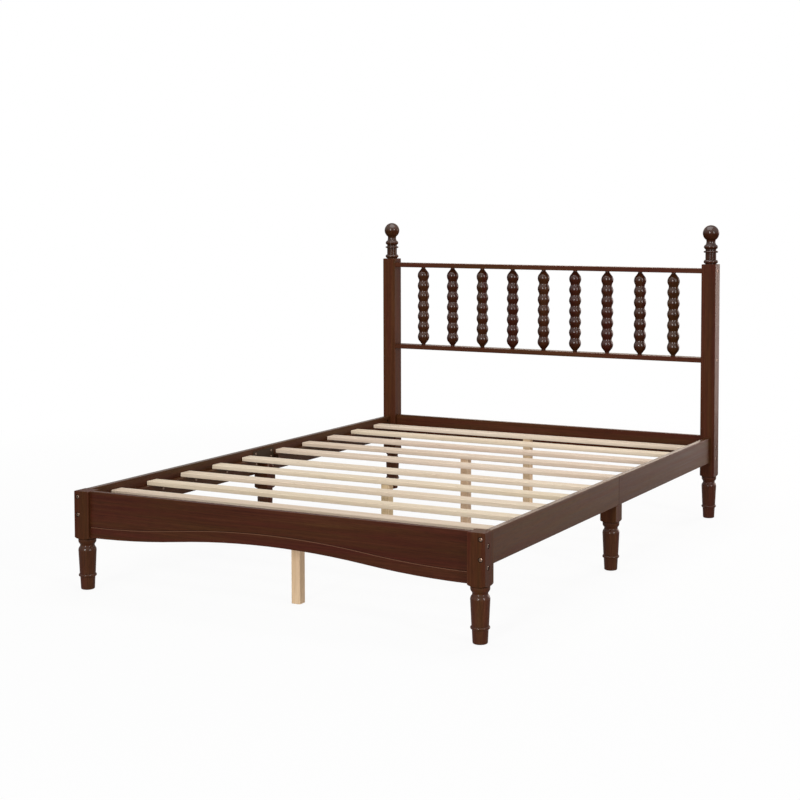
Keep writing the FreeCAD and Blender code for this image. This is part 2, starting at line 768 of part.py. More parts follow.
def place_group(label, pattern, spots):
    """One node of separate like solids: links to a pattern piece at (x, y, z, rotation)."""
    links = []
    for index, (x, y, z, rotation) in enumerate(spots, start=1):
        link = doc.addObject("App::Link", f"{label}_{index}")
        link.LinkedObject = pattern
        link.Placement = Placement(Vector(), rotation)
        put(link, x, y, z)
        links.append(link)
    group = doc.addObject("Part::Compound", label)
    group.Links = links
    nodes.append(group)


def pointing(x, y, z):
    """The turn that takes +Z to a direction."""
    return Rotation(Vector(0, 0, 1), Vector(x, y, z))


def make_fasteners():
    frame_bolt = bolt_pattern_piece("frame_bolt", "bolt_length")
    mid_bolt = bolt_pattern_piece("mid_bolt", "mid_bolt_length")
    barrel_nut = nut_blank("barrel_nut")
    drill(barrel_nut, "cross_hole", "YZ", "nut_width / 2", [("0", "0")], "nut_thread")
    insert_nut = nut_blank("insert_nut")
    drill(insert_nut, "thread", "XY", "nut_length / 2", [("0", "0")], "nut_thread")
    signs = tuple(SIDES.values())
    seat = "(post_side / 2 - bolt_recess)"
    foot_rail_y = "foot_rail_from_post - post_y"
    thin_rail_y = "post_y + headboard_rail_from_post"
    place_group("foot_rail_bolts", frame_bolt, [
        (f"{sign} * (foot_post_x + {seat})", foot_rail_y, z, pointing(-sign, 0, 0))
        for sign in signs for z in FOOT_BOLTS])
    place_group("side_rail_foot_bolts", frame_bolt, [
        (f"{sign} * rail_middle", f"-(post_y + {seat})", z, pointing(0, 1, 0))
        for sign in signs for z in SIDE_BOLTS])
    place_group("side_rail_head_bolts", frame_bolt, [
        (f"{sign} * rail_middle", f"post_y + {seat}", z, pointing(0, -1, 0))
        for sign in signs for z in SIDE_BOLTS])
    place_group("headboard_rail_bolts", frame_bolt, [
        (f"{sign} * (head_post_x + {seat})", thin_rail_y, z, pointing(-sign, 0, 0))
        for sign in signs for z in THIN_RAIL_BOLTS])
    place_group("headboard_bottom_rail_bolts", frame_bolt, [
        (f"{sign} * (head_post_x + {seat})", "post_y", z, pointing(-sign, 0, 0))
        for sign in signs for z in BOTTOM_BOLTS])
    place_group("mid_leg_bolts", mid_bolt, [
        (f"{sign} * (mid_leg_x - {seat})", f"{way} * mid_bolt_spread / 2", z, pointing(sign, 0, 0))
        for sign in signs for way in HALVES.values() for z in MID_BOLTS])
    place_group("mid_leg_insert_nuts", insert_nut, [
        (f"{sign} * (rail_inner + nut_length / 2)", f"{way} * mid_bolt_spread / 2", z, pointing(1, 0, 0))
        for sign in signs for way in HALVES.values() for z in MID_BOLTS])
    lying_along_y = Rotation(Vector(1, 0, 0), -90)
    lying_along_x = Rotation(Vector(0, 1, 0), Vector(0, 0, 1), Vector(1, 0, 0), "XYZ")
    spots = [(f"{sign} * (foot_rail_span / 2 - nut_set_in)", foot_rail_y, z, lying_along_y)
             for sign in signs for z in FOOT_BOLTS]
    spots += [(f"{sign} * (head_span / 2 - nut_set_in)", "post_y", z, lying_along_y)
              for sign in signs for z in BOTTOM_BOLTS]
    spots += [(f"{sign} * (head_span / 2 - nut_set_in)", thin_rail_y, z, Rotation())
              for sign in signs for z in THIN_RAIL_BOLTS]
    spots += [(f"{sign} * rail_middle", f"{way} * (post_face_y - nut_set_in)", z, lying_along_x)
              for sign in signs for way in HALVES.values() for z in SIDE_BOLTS]
    place_group("barrel_nuts", barrel_nut, spots)


def make_bed():
    for side, sign in SIDES.items():
        make_headboard_post(side, sign)
        make_finial(side, sign)
        make_foot_post(side, sign)
        make_mid_leg(side, sign)
        make_joint_plate(side, sign)
        for half, way in HALVES.items():
            make_side_rail(side, sign, half, way)
            make_ledger(side, sign, half, way)
    make_thin_rail("headboard_top_rail", "top_rail_base", "0")
    make_thin_rail("headboard_spindle_rail", "spindle_rail_base", "headboard_rail_height")
    make_headboard_bottom_rail()
    for index in range(SPINDLES):
        make_spindle(index)
    make_foot_rail()
    for slat in range(1, 2 * SLATS_PER_HALF + 1):
        make_slat(slat)
    for count, slat in enumerate(SUPPORTED_SLATS, start=1):
        make_support_leg(count, slat)
    make_fasteners()


def check_document():
    """Stop if anything failed, cut nothing or has no sound shape."""
    doc.recompute()
    for item in doc.Objects:
        if {"Invalid", "Error"} & set(item.State):
            raise RuntimeError(f"{item.Label} failed: {item.State}")
        if item.TypeId in ("PartDesign::Pocket", "PartDesign::Groove", "PartDesign::Hole"):
            if item.Shape.Volume >= item.BaseFeature.Shape.Volume:
                raise RuntimeError(f"{item.Label} cuts nothing")
    for node in nodes:
        if node.Shape.isNull() or not node.Shape.isValid():
            raise RuntimeError(f"{node.Label} has no sound shape")


make_bed()
check_document()
os.makedirs("parts", exist_ok=True)
for node in nodes:
    node.Shape.exportStep(f"parts/{node.Label}.step")
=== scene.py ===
import math

import bmesh
import bpy
from mathutils import Matrix, Vector


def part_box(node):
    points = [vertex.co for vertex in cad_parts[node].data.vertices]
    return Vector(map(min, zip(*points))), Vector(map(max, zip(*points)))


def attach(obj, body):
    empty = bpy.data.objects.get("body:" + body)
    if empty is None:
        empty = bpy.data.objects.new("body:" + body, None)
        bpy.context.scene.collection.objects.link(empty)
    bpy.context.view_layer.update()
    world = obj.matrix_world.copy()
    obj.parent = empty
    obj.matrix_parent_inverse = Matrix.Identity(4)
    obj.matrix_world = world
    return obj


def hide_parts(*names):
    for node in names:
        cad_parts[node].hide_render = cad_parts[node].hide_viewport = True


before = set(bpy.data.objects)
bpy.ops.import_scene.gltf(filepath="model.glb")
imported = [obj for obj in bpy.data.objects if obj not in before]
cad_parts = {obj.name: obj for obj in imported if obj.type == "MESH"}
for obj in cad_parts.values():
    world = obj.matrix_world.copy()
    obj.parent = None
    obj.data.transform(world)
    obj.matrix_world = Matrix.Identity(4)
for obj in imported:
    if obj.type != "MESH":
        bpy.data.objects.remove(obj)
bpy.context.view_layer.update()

# Metres throughout, in the frame of the solids: X across the bed, +Y to the head, +Z up.

# The photograph's camera. Pixels are those of its 800 by 800 frame.
IMAGE_SIDE = 800
FOCAL_PIXELS = 1589.0
OPTICAL_CENTRE = (460, 290)
CAMERA_PLACE = (2.587, -4.853, 1.210)
CAMERA_TURN = 0.4698
CAMERA_TILT = 0.0550
SENSOR_WIDTH = 36.0

# Linear colours. The tones of a wood run from its darkest to its lightest.
WALNUT_TONES = ((0.040, 0.0100, 0.0034), (0.057, 0.0152, 0.0054), (0.076, 0.0230, 0.0094))
SIDE_TONES = ((0.038, 0.0118, 0.0034), (0.054, 0.0180, 0.0054), (0.072, 0.0270, 0.0094))
POST_TONES = ((0.042, 0.0110, 0.0038), (0.060, 0.0167, 0.0060), (0.080, 0.0252, 0.0104))
TURNED_TONES = ((0.028, 0.0074, 0.0028), (0.041, 0.0115, 0.0044), (0.057, 0.0180, 0.0076))
WALNUT_EDGE = (0.150, 0.0600, 0.0300)
# Painted highlight and painted shade for the two walls of the foot rail's scored line.
SCORE_PAINTED_HIGHLIGHT = (0.170, 0.0800, 0.0480)
SCORE_PAINTED_SHADE = (0.018, 0.0040, 0.0015)
SLAT_TONES = ((0.58, 0.45, 0.330), (0.665, 0.54, 0.41), (0.75, 0.64, 0.51))
LEG_PINE_TONES = ((0.60, 0.41, 0.24), (0.71, 0.51, 0.32), (0.79, 0.61, 0.42))
PINE_EDGE = (0.74, 0.63, 0.50)
BRONZE = (0.205, 0.137, 0.102)
PLATE_PAINT = (0.030, 0.017, 0.008)
WHITE = (1.0, 1.0, 1.0)
WARM = (1.0, 0.84, 0.66)
ROSY = (1.0, 0.80, 0.72)

# Wood finishes: colours, how far the edges are rubbed, gloss of the wood and of its lacquer, and grain.
# Of the shares that darken, the one for hollows is painted shade where ambient occlusion finds a hollow;
# end_grain and pores are shares by which sawn ends and pores are darker.
WALNUT_FINISH = {
    "tones": WALNUT_TONES,
    "edge_tone": WALNUT_EDGE,
    "edge_wear": 0.25,
    "roughness": (0.42, 0.58),
    "specular": 0.060,
    "lacquer": "flat",
    "lacquer_roughness": 0.17,
    # painted shade: the share by which hollows that ambient occlusion finds are darkened
    "hollow_shade": 0.55,
    "end_grain": 0.0,
    "pores": 0.35,
    "relief": 0.25,
    "hue_spread": 0.003,
    "hue_drift": 0.014,
}
RAIL_FINISH = {**WALNUT_FINISH, "end_grain": 0.6}
SIDE_FINISH = {**RAIL_FINISH, "tones": SIDE_TONES, "specular": 0.074, "lacquer": "rail top"}
POST_FINISH = {**WALNUT_FINISH, "tones": POST_TONES, "specular": 0.046, "lacquer": "turned foot"}
TURNED_FINISH = {
    **WALNUT_FINISH,
    "tones": TURNED_TONES,
    "specular": 0.0,
    "lacquer": "turned",
    "relief": 0.10,
    "hue_spread": 0.008,
}
SLAT_FINISH = {
    "tones": SLAT_TONES,
    "edge_tone": PINE_EDGE,
    "edge_wear": 0.35,
    "roughness": (0.50, 0.70),
    "specular": 0.25,
    "lacquer": None,
    "lacquer_roughness": 0.30,
    "hollow_shade": 0.0,
    "end_grain": 0.0,
    "pores": 0.12,
    "relief": 0.25,
    "hue_spread": 0.012,
    "hue_drift": 0.004,
}
LEG_PINE_FINISH = {**SLAT_FINISH, "tones": LEG_PINE_TONES}

# Wood grain. Each kind of noise has counts per metre along and across the grain, and a detail.
# Levels are the noise values between which an effect runs from least to most.
FIGURE = (1.3, 15.0, 3.0)
STREAKS = (2.4, 210.0, 4.0)
PORES = (26.0, 1100.0, 2.0)
DRIFT = (2.0, 32.0, 2.0)
FIGURE_WANDER = 0.8
NOISE_ROUGHNESS = 0.6
PIECE_SHIFT = (13.7, 8.3, 5.9)
STREAK_SHARE = 0.6
TONE_STOPS = (0.34, 0.5, 0.66)
PORE_LEVELS = (0.36, 0.5)
NOISE_LEVELS = (0.3, 0.7)
PIECE_LIGHTNESS = (0.93, 1.07)
UNCHANGED_HUE = 0.5
WOOD_RELIEF = 0.0004
STREAK_RELIEF_SHARE = 0.4

# Wear, stain and painted shade: rubbed edges, painted shade in hollows that ambient occlusion finds, and
# sawn ends that drink stain
EDGE_RADIUS = 0.003
EDGE_LEVELS = (0.9, 0.995)
EDGE_SAMPLES = 4
RUB_LEVELS = (0.35, 0.65)
LEAST_RUB = 0.2
HOLLOW_SHADE_REACH = 0.02
HOLLOW_SHADE_LEVELS = (0.45, 0.95)
HOLLOW_SHADE_SAMPLES = 6
END_LEVELS = (0.005, 0.12)

# Lacquer: its weight on flat work, on the tops of the side rails, and on undersides and uppersides of
# turned work and of feet. Levels are the upward tilts between which the weight runs.
FLAT_LACQUER = 0.01
TOP_LACQUER = 0.17
TURNED_LACQUER = (0.015, 0.30)
FOOT_LACQUER = (0.015, 0.13)
TOP_LEVELS = (0.7, 0.95)
LACQUER_LEVELS = (-0.1, 0.35)
LACQUER_INDEX = 2.2
FOOT_TOP = 0.160

# The scored line on the foot rail, with a painted highlight on its wall that looks up and painted shade on
# the other: its height over the arched edge, the rise of the arch and its band
SCORE_HEIGHT = 0.034
ARCH_RISE = 0.0375
SCORE_REACH = 0.006
SCORE_SKIN = 0.0003
SCORE_SLOPE = 0.5

# Steel: finishes of the bolts and of the painted plates, mottling and scratches
BOLT_FINISH = {"colour": BRONZE, "metallic": 1.0, "specular": 0.5, "roughness": (0.22, 0.40)}
PLATE_FINISH = {"colour": PLATE_PAINT, "metallic": 0.0, "specular": 0.10, "roughness": (0.50, 0.68)}
MOTTLE_COUNT = 260.0
MOTTLE_DETAIL = 4.0
MOTTLE_LIGHTNESS = (0.82, 1.12)
SCRATCHES = (120.0, 2600.0, 2.0)
SCRATCH_STRENGTH = 0.15
STEEL_RELIEF = 0.0001

# Floor and light. A softbox is a name, a place, a target, a width and height, watts and a colour.
FLOOR_SIDE = 60.0
FLOOR_FADE = (1.4, 3.6)
FLOOR_WHITE = (0.92, 1.0)
FLOOR_TONES = (0.46, 0.86)
WORLD_LIGHT = 0.20
SOFTBOXES = (
    ("overhead", (0.0, 0.2, 4.2), (0.0, 0.2, 0.0), (3.6, 3.6), 112.0, WHITE),
    ("key_front", (1.0, -16.0, 3.9), (0.2, 0.0, 0.65), (3.4, 7.0), 1580.0, WHITE),
    ("key_side", (8.8, -3.7, 2.6), (0.2, 0.2, 0.60), (1.2, 4.2), 360.0, WHITE),
    ("side_sheen", (1.85, 3.3, 0.8), (0.7, 1.0, 0.65), (1.2, 1.5), 49.0, ROSY),
    ("back_sheen", (-2.0, 6.8, 1.6), (0.4, 0.0, 0.3), (2.8, 1.8), 48.0, WARM),
)

# Fasteners that the solids leave plain or leave out. The steps of a bolt's head are drops from its top
# over BOLT_DOME, those of a screw's head are heights over SCREW_HEAD_HEIGHT, each with a share of the
# head's radius.
FACETS = 24
BOLT_HEAD_RADIUS = 0.0065
BOLT_HEAD_HEIGHT = 0.005
BOLT_RADIUS = 0.003
BOLT_DOME = 0.0015
BOLT_DOME_STEPS = ((0.0, 0.60), (0.3, 0.80), (1.0, 0.94), (2.0, 1.0))
SOCKET_APOTHEM = 0.0030
SOCKET_DEPTH = 0.0035
MID_BOLT_SINK = 0.002
SCREW_HEAD_RADIUS = 0.0042
SCREW_HEAD_HEIGHT = 0.0024
SCREW_RADIUS = 0.002
SCREW_LENGTH = 0.014
SCREW_HEAD_STEPS = ((1.0, 0.65), (0.65, 0.9), (0.2, 1.0), (0.0, 1.0))
CROSS_REACH = 0.0024
CROSS_HALF_WIDTH = 0.0006
CROSS_DEPTH = 0.0014
LEDGER_SCREW_SHIFT = 0.033
PLATE_SCREW_SPREAD = 0.100
PLATE_SCREW_RISE = 0.022

# The two sides of the bed with their way along X, and its halves with their way along Y and their slats
SIDES = (("left", -1), ("right", 1))
HALVES = (("front", -1, range(1, 6)), ("rear", 1, range(6, 11)))


def set_input(tree, socket, value):
    """Link the socket to another node's output, or set it to a plain value."""
    if isinstance(value, bpy.types.NodeSocket):
        tree.links.new(value, socket)
    else:
        socket.default_value = value


def add_node(tree, kind, inputs=(), **settings):
    """A shader node with its settings made and its inputs linked or set."""
    node = tree.nodes.new(f"ShaderNode{kind}")
    for name, value in settings.items():
        setattr(node, name, value)
    for key, value in dict(inputs).items():
        set_input(tree, node.inputs[key], value)
    return node


def blank_material(name):
    """A new material with no nodes, and its node tree."""
    material = bpy.data.materials.new(name)
    material.use_nodes = True
    material.node_tree.nodes.clear()
    return material, material.node_tree


def finish_material(tree, shader):
    """Make the shader the material's surface."""
    output = add_node(tree, "OutputMaterial")
    tree.links.new(shader, output.inputs["Surface"])


def calculate(tree, operation, *values):
    """The result of a Math node."""
    return add_node(tree, "Math", enumerate(values), operation=operation).outputs["Value"]


def map_range(tree, value, source, target):
    """The value moved from one range to another, and held within it."""
    inputs = {
        "Value": value,
        "From Min": source[0],
        "From Max": source[1],
        "To Min": target[0],
        "To Max": target[1],
    }
    return add_node(tree, "MapRange", inputs).outputs["Result"]


def split(tree, vector):
    """The X, Y and Z of a vector."""
    return add_node(tree, "SeparateXYZ", {"Vector": vector}).outputs


def mix_value(tree, factor, first, second):
    """Plain mix of two numbers. A Mix node keeps its number sockets at these places."""
    return add_node(tree, "Mix", {0: factor, 2: first, 3: second}).outputs[0]


def mix_colour(tree, factor, first, second, blend="MIX"):
    """Mix of two colours. A Mix node keeps its colour sockets at these places."""
    inputs = {0: factor, 6: first, 7: second}
    return add_node(tree, "Mix", inputs, data_type="RGBA", blend_type=blend).outputs[2]


def darken(tree, colour, share):
    """The colour times a share."""
    return mix_colour(tree, 1.0, colour, share, "MULTIPLY")


def colour_ramp(tree, factor, stops):
    """A ramp through (position, linear colour) stops."""
    ramp = add_node(tree, "ValToRGB", {"Fac": factor})
    elements = ramp.color_ramp.elements
    for stop in stops[1:-1]:
        elements.new(stop[0])
    for element, (position, colour) in zip(elements, stops):
        element.position = position
        element.color = (*colour, 1.0)
    return ramp.outputs["Color"]


def seeded_place(tree):
    """Object coordinates with a different start for every piece, and that piece's random number."""
    place = add_node(tree, "TexCoord").outputs["Object"]
    chance = add_node(tree, "ObjectInfo").outputs["Random"]
    shift = add_node(tree, "VectorMath", {0: PIECE_SHIFT, "Scale": chance}, operation="SCALE")
    moved = add_node(tree, "VectorMath", {0: place, 1: shift.outputs["Vector"]}, operation="ADD")
    return moved.outputs["Vector"], chance


def stretched_noise(tree, place, grain, kind, wander=0.0):
    """Noise with features drawn out along the grain axis."""
    along, across, detail = kind
    scale = [across] * 3
    scale["XYZ".index(grain)] = along
    mapped = add_node(tree, "Mapping", {"Vector": place, "Scale": scale})
    inputs = {
        "Vector": mapped.outputs["Vector"],
        "Scale": 1.0,
        "Detail": detail,
        "Roughness": NOISE_ROUGHNESS,
        "Distortion": wander,
    }
    return add_node(tree, "TexNoise", inputs).outputs["Fac"]


def edge_mask(tree):
    """One along outer edges, fading to nothing on flat faces."""
    eased = add_node(tree, "Bevel", {"Radius": EDGE_RADIUS}, samples=EDGE_SAMPLES).outputs["Normal"]
    normal = add_node(tree, "NewGeometry").outputs["Normal"]
    facing = add_node(tree, "VectorMath", {0: eased, 1: normal}, operation="DOT_PRODUCT")
    return map_range(tree, facing.outputs["Value"], EDGE_LEVELS, (1.0, 0.0))


def painted_hollow_shade(tree, darkest):
    """Painted shade: one on open surfaces, down to the darkest share in hollows that ambient occlusion
    finds.
    """
    settings = {"samples": HOLLOW_SHADE_SAMPLES, "only_local": True}
    open_share = add_node(tree, "AmbientOcclusion", {"Distance": HOLLOW_SHADE_REACH}, **settings)
    return map_range(tree, open_share.outputs["AO"], HOLLOW_SHADE_LEVELS, (darkest, 1.0))


def end_grain_shade(tree, grain, darkest):
    """One on faces along the grain, down to the darkest share on sawn ends, which take more stain."""
    facing = split(tree, add_node(tree, "NewGeometry").outputs["Normal"])[grain]
    squared = calculate(tree, "MULTIPLY", facing, facing)
    return map_range(tree, squared, END_LEVELS, (1.0, darkest))


def scored_highlight_and_shade_masks(tree):
    """The walls of the foot rail's scored line: one mask for the wall that looks up, which takes a painted
    highlight, one for the other, which takes painted shade.
    """
    low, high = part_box("foot_rail")
    surface = add_node(tree, "NewGeometry").outputs
    spot = split(tree, surface["Position"])
    facing = split(tree, surface["Normal"])
    turn = calculate(tree, "MULTIPLY", spot["X"], 2 * math.pi / (high[0] - low[0]))
    wave = calculate(tree, "COSINE", turn)
    middle = low[2] + SCORE_HEIGHT + ARCH_RISE / 2
    line = calculate(tree, "MULTIPLY_ADD", wave, ARCH_RISE / 2, middle)
    near = calculate(tree, "COMPARE", spot["Z"], line, SCORE_REACH)
    sunk = calculate(tree, "GREATER_THAN", spot["Y"], low[1] + SCORE_SKIN)
    inside = calculate(tree, "MULTIPLY", near, sunk)
    masks = []
    for steepest in (SCORE_SLOPE, -SCORE_SLOPE):
        share = map_range(tree, facing["Z"], (0.0, steepest), (0.0, 1.0))
        masks.append(calculate(tree, "MULTIPLY", inside, share))
    return masks


def lacquer_weight(tree, kind):
    """Even lacquer on flat work; on side rails and turned work, more on what looks up."""
    if kind == "flat":
        return FLAT_LACQUER
    surface = add_node(tree, "NewGeometry").outputs
    facing = split(tree, surface["Normal"])["Z"]
    if kind == "rail top":
        return map_range(tree, facing, TOP_LEVELS, (FLAT_LACQUER, TOP_LACQUER))
    if kind == "turned":
        return map_range(tree, facing, LACQUER_LEVELS, TURNED_LACQUER)
    foot = map_range(tree, facing, LACQUER_LEVELS, FOOT_LACQUER)
    in_foot = calculate(tree, "LESS_THAN", split(tree, surface["Position"])["Z"], FOOT_TOP)
    return mix_value(tree, in_foot, FLAT_LACQUER, foot)


def wood_pattern(tree, grain):
    """The noises that colour, gloss and relief of a wood share, and the piece's random number."""
    place, chance = seeded_place(tree)
    return {
        "figure": stretched_noise(tree, place, grain, FIGURE, FIGURE_WANDER),
        "streaks": stretched_noise(tree, place, grain, STREAKS),
        "pores": stretched_noise(tree, place, grain, PORES),
        "drift": stretched_noise(tree, place, grain, DRIFT),
        "chance": chance,
    }


def stained_colour(tree, pattern, finish):
    """Figure, streaks and pores, with a lightness and hue of the piece's own and a hue that drifts."""
    blend = mix_value(tree, STREAK_SHARE, pattern["figure"], pattern["streaks"])
    colour = colour_ramp(tree, blend, tuple(zip(TONE_STOPS, finish["tones"])))
    pore_shade = map_range(tree, pattern["pores"], PORE_LEVELS, (1.0 - finish["pores"], 1.0))
    colour = darken(tree, colour, pore_shade)
    spread = finish["hue_spread"]
    hues = (UNCHANGED_HUE - spread, UNCHANGED_HUE + spread)
    piece_hue = map_range(tree, pattern["chance"], (0.0, 1.0), hues)
    drift = finish["hue_drift"]
    local_hue = map_range(tree, pattern["drift"], NOISE_LEVELS, (-drift, drift))
    inputs = {
        "Hue": calculate(tree, "ADD", piece_hue, local_hue),
        "Value": map_range(tree, pattern["chance"], (0.0, 1.0), PIECE_LIGHTNESS),
        "Color": colour,
    }
    return add_node(tree, "HueSaturation", inputs).outputs["Color"]


def worn_colour(tree, colour, pattern, grain, finish):
    """The colour with rubbed edges, with painted shade in hollows, and with darker sawn ends, where the
    finish has them.
    """
    most = finish["edge_wear"]
    rubbed = map_range(tree, pattern["streaks"], RUB_LEVELS, (LEAST_RUB * most, most))
    wear = calculate(tree, "MULTIPLY", edge_mask(tree), rubbed)
    colour = mix_colour(tree, wear, colour, (*finish["edge_tone"], 1.0))
    # Painted shade in hollows, from ambient occlusion.
    if finish["hollow_shade"]:
        colour = darken(tree, colour, painted_hollow_shade(tree, 1.0 - finish["hollow_shade"]))
    if finish["end_grain"]:
        colour = darken(tree, colour, end_grain_shade(tree, grain, 1.0 - finish["end_grain"]))
    return colour


def scored_painted_light(tree, colour):
    """The colour with a painted highlight on the scored line's upward wall and painted shade on its other
    wall.
    """
    for mask, tone in zip(scored_highlight_and_shade_masks(tree), (SCORE_PAINTED_HIGHLIGHT, SCORE_PAINTED_SHADE)):
        colour = mix_colour(tree, mask, colour, (*tone, 1.0))
    return colour


def wood(name, grain, finish, scored=False):
    """Sawn and finished wood, with its grain along an axis, and for the scored line a painted highlight and
    painted shade.
    """
    material, tree = blank_material(name)
    pattern = wood_pattern(tree, grain)
    colour = stained_colour(tree, pattern, finish)
    colour = worn_colour(tree, colour, pattern, grain, finish)
    # Painted highlight and painted shade on the walls of the scored line.
    if scored:
        colour = scored_painted_light(tree, colour)
    height = mix_value(tree, STREAK_RELIEF_SHARE, pattern["pores"], pattern["streaks"])
    bump = add_node(tree, "Bump", {"Strength": finish["relief"], "Distance": WOOD_RELIEF, "Height": height})
    shader = add_node(tree, "BsdfPrincipled", {
        "Base Color": colour,
        "Roughness": map_range(tree, pattern["streaks"], NOISE_LEVELS, finish["roughness"]),
        "Specular IOR Level": finish["specular"],
        "Normal": bump.outputs["Normal"],
        "Coat IOR": LACQUER_INDEX,
        "Coat Roughness": finish["lacquer_roughness"],
    })
    if finish["lacquer"]:
        set_input(tree, shader.inputs["Coat Weight"], lacquer_weight(tree, finish["lacquer"]))
    finish_material(tree, shader.outputs["BSDF"])
    return material


def steel(name, finish):
    """Plated or painted steel with faint mottling and fine scratches."""
    material, tree = blank_material(name)
    place = seeded_place(tree)[0]
    noise = {"Vector": place, "Scale": MOTTLE_COUNT, "Detail": MOTTLE_DETAIL}
    mottle = add_node(tree, "TexNoise", noise).outputs["Fac"]
    lightness = map_range(tree, mottle, NOISE_LEVELS, MOTTLE_LIGHTNESS)
    tinted = add_node(tree, "HueSaturation", {"Value": lightness, "Color": (*finish["colour"], 1.0)})
    scratches = stretched_noise(tree, place, "Z", SCRATCHES)
    bump = add_node(tree, "Bump", {
        "Strength": SCRATCH_STRENGTH,
        "Distance": STEEL_RELIEF,
        "Height": scratches,
    })
    shader = add_node(tree, "BsdfPrincipled", {
        "Base Color": tinted.outputs["Color"],
        "Metallic": finish["metallic"],
        "Specular IOR Level": finish["specular"],
        "Roughness": map_range(tree, mottle, NOISE_LEVELS, finish["roughness"]),
        "Normal": bump.outputs["Normal"],
    })
    finish_material(tree, shader.outputs["BSDF"])
    return material


RAIL_WALNUT = wood("walnut_rail", "X", RAIL_FINISH)
SIDE_WALNUT = wood("walnut_side", "Y", SIDE_FINISH)
POST_WALNUT = wood("walnut_post", "Z", POST_FINISH)
# The foot rail's walnut, with a painted highlight and painted shade in its scored line.
SCORED_WALNUT_PAINTED_LIGHT = wood("walnut_scored_painted_light", "X", RAIL_FINISH, scored=True)
TURNED_WALNUT = wood("walnut_turned", "Z", TURNED_FINISH)
SLAT_PINE = wood("pine_slat", "X", SLAT_FINISH)
LEG_PINE = wood("pine_leg", "Z", LEG_PINE_FINISH)
BOLT_STEEL = steel("bolt_steel", BOLT_FINISH)
PLATE_STEEL = steel("plate_steel", PLATE_FINISH)


def finish_for(node):
    """The material of a CAD node, with wood grain along the piece."""
    if node == "foot_rail":
        return SCORED_WALNUT_PAINTED_LIGHT
    if node.endswith(("_bolts", "_nuts")):
        return BOLT_STEEL
    if node.startswith("rail_joint_plate"):
        return PLATE_STEEL
    if node.startswith(("slat_ledger", "side_rail")):
        return SIDE_WALNUT
    if node.startswith("slat_"):
        return SLAT_PINE
    if node.startswith("support_leg"):
        return LEG_PINE
    if node.startswith(("spindle", "finial")):
        return TURNED_WALNUT
    if node.endswith("_rail"):
        return RAIL_WALNUT
    return POST_WALNUT


def dress_solids():
    """A material on every slot of every CAD node."""
    for node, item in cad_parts.items():
        for slot in item.material_slots:
            slot.material = finish_for(node)


def hexagon(angle):
    """The reach of the bolts' hexagon socket at an angle."""
    sector = math.pi / 3
    return SOCKET_APOTHEM / math.cos((angle + sector / 2) % sector - sector / 2)


def cross(angle):
    """The reach of the screws' cross recess at an angle."""
    quarter = math.pi / 2
    off_arm = abs((angle + quarter / 2) % quarter - quarter / 2)
    arm_end = CROSS_HALF_WIDTH / CROSS_REACH
    return CROSS_HALF_WIDTH / max(math.sin(off_arm), arm_end)


def ring(mesh, height, radius):
    """One ring of vertices, with its radius given as a number or as a function of the angle."""
    points = []
    for index in range(FACETS):
        angle = 2 * math.pi * index / FACETS
        reach = radius(angle) if callable(radius) else radius
        points.append(mesh.verts.new((reach * math.cos(angle), reach * math.sin(angle), height)))
    return points


def fastener_mesh(rings):
    """A closed mesh through (height, radius) rings, from the drive recess down to the tip."""
    mesh = bmesh.new()
    loops = [ring(mesh, height, radius) for height, radius in rings]
    for upper, lower in zip(loops, loops[1:]):
        for index in range(FACETS):
            after = (index + 1) % FACETS
            mesh.faces.new((upper[index], upper[after], lower[after], lower[index]))
    mesh.faces.new(loops[0])
    mesh.faces.new(loops[-1])
    bmesh.ops.recalc_face_normals(mesh, faces=mesh.faces)
    return mesh


def bolt_rings(length):
    """A socket-head bolt that points along +Z, with its head's seat at zero."""
    top = -BOLT_HEAD_HEIGHT - BOLT_DOME
    socket = [(top + SOCKET_DEPTH, hexagon), (top, hexagon)]
    dome = [(top + drop * BOLT_DOME, share * BOLT_HEAD_RADIUS) for drop, share in BOLT_DOME_STEPS]
    shank = [(0.0, BOLT_HEAD_RADIUS), (0.0, BOLT_RADIUS), (length, BOLT_RADIUS)]
    return socket + dome + shank


def screw_rings():
    """A cross-head screw that points along +Z, with its head's seat at zero."""
    top = -SCREW_HEAD_HEIGHT
    recess = [(top + CROSS_DEPTH, cross), (top, cross)]
    head = [(rise * top, share * SCREW_HEAD_RADIUS) for rise, share in SCREW_HEAD_STEPS]
    shank = [(0.0, SCREW_RADIUS), (SCREW_LENGTH, SCREW_RADIUS)]
    return recess + head + shank


def fastener_group(name, rings, spots):
    """One object of like fasteners: each spot is where the head seats and the way that it points."""
    whole = bmesh.new()
    pattern = bpy.data.meshes.new(f"{name}_pattern")
    fastener_mesh(rings).to_mesh(pattern)
    for place, way in spots:
        turn = Vector(way).to_track_quat("Z", "Y").to_matrix().to_4x4()
        fastener = pattern.copy()
        fastener.transform(Matrix.Translation(place) @ turn)
        whole.from_mesh(fastener)
        bpy.data.meshes.remove(fastener)
    bpy.data.meshes.remove(pattern)
    mesh = bpy.data.meshes.new(name)
    whole.to_mesh(mesh)
    mesh.materials.append(BOLT_STEEL)
    item = bpy.data.objects.new(name, mesh)
    bpy.context.collection.objects.link(item)
    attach(item, "root")
    return item


def across_bolt_spots(node):
    """Seats of bolts that point inwards along X from both sides of the bed."""
    low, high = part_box(node)
    heights = (low[2] + BOLT_HEAD_RADIUS, high[2] - BOLT_HEAD_RADIUS)
    middle = (low[1] + high[1]) / 2
    left = low[0] + BOLT_HEAD_HEIGHT
    right = high[0] - BOLT_HEAD_HEIGHT
    spots = [((left, middle, z), (1, 0, 0)) for z in heights]
    return spots + [((right, middle, z), (-1, 0, 0)) for z in heights]


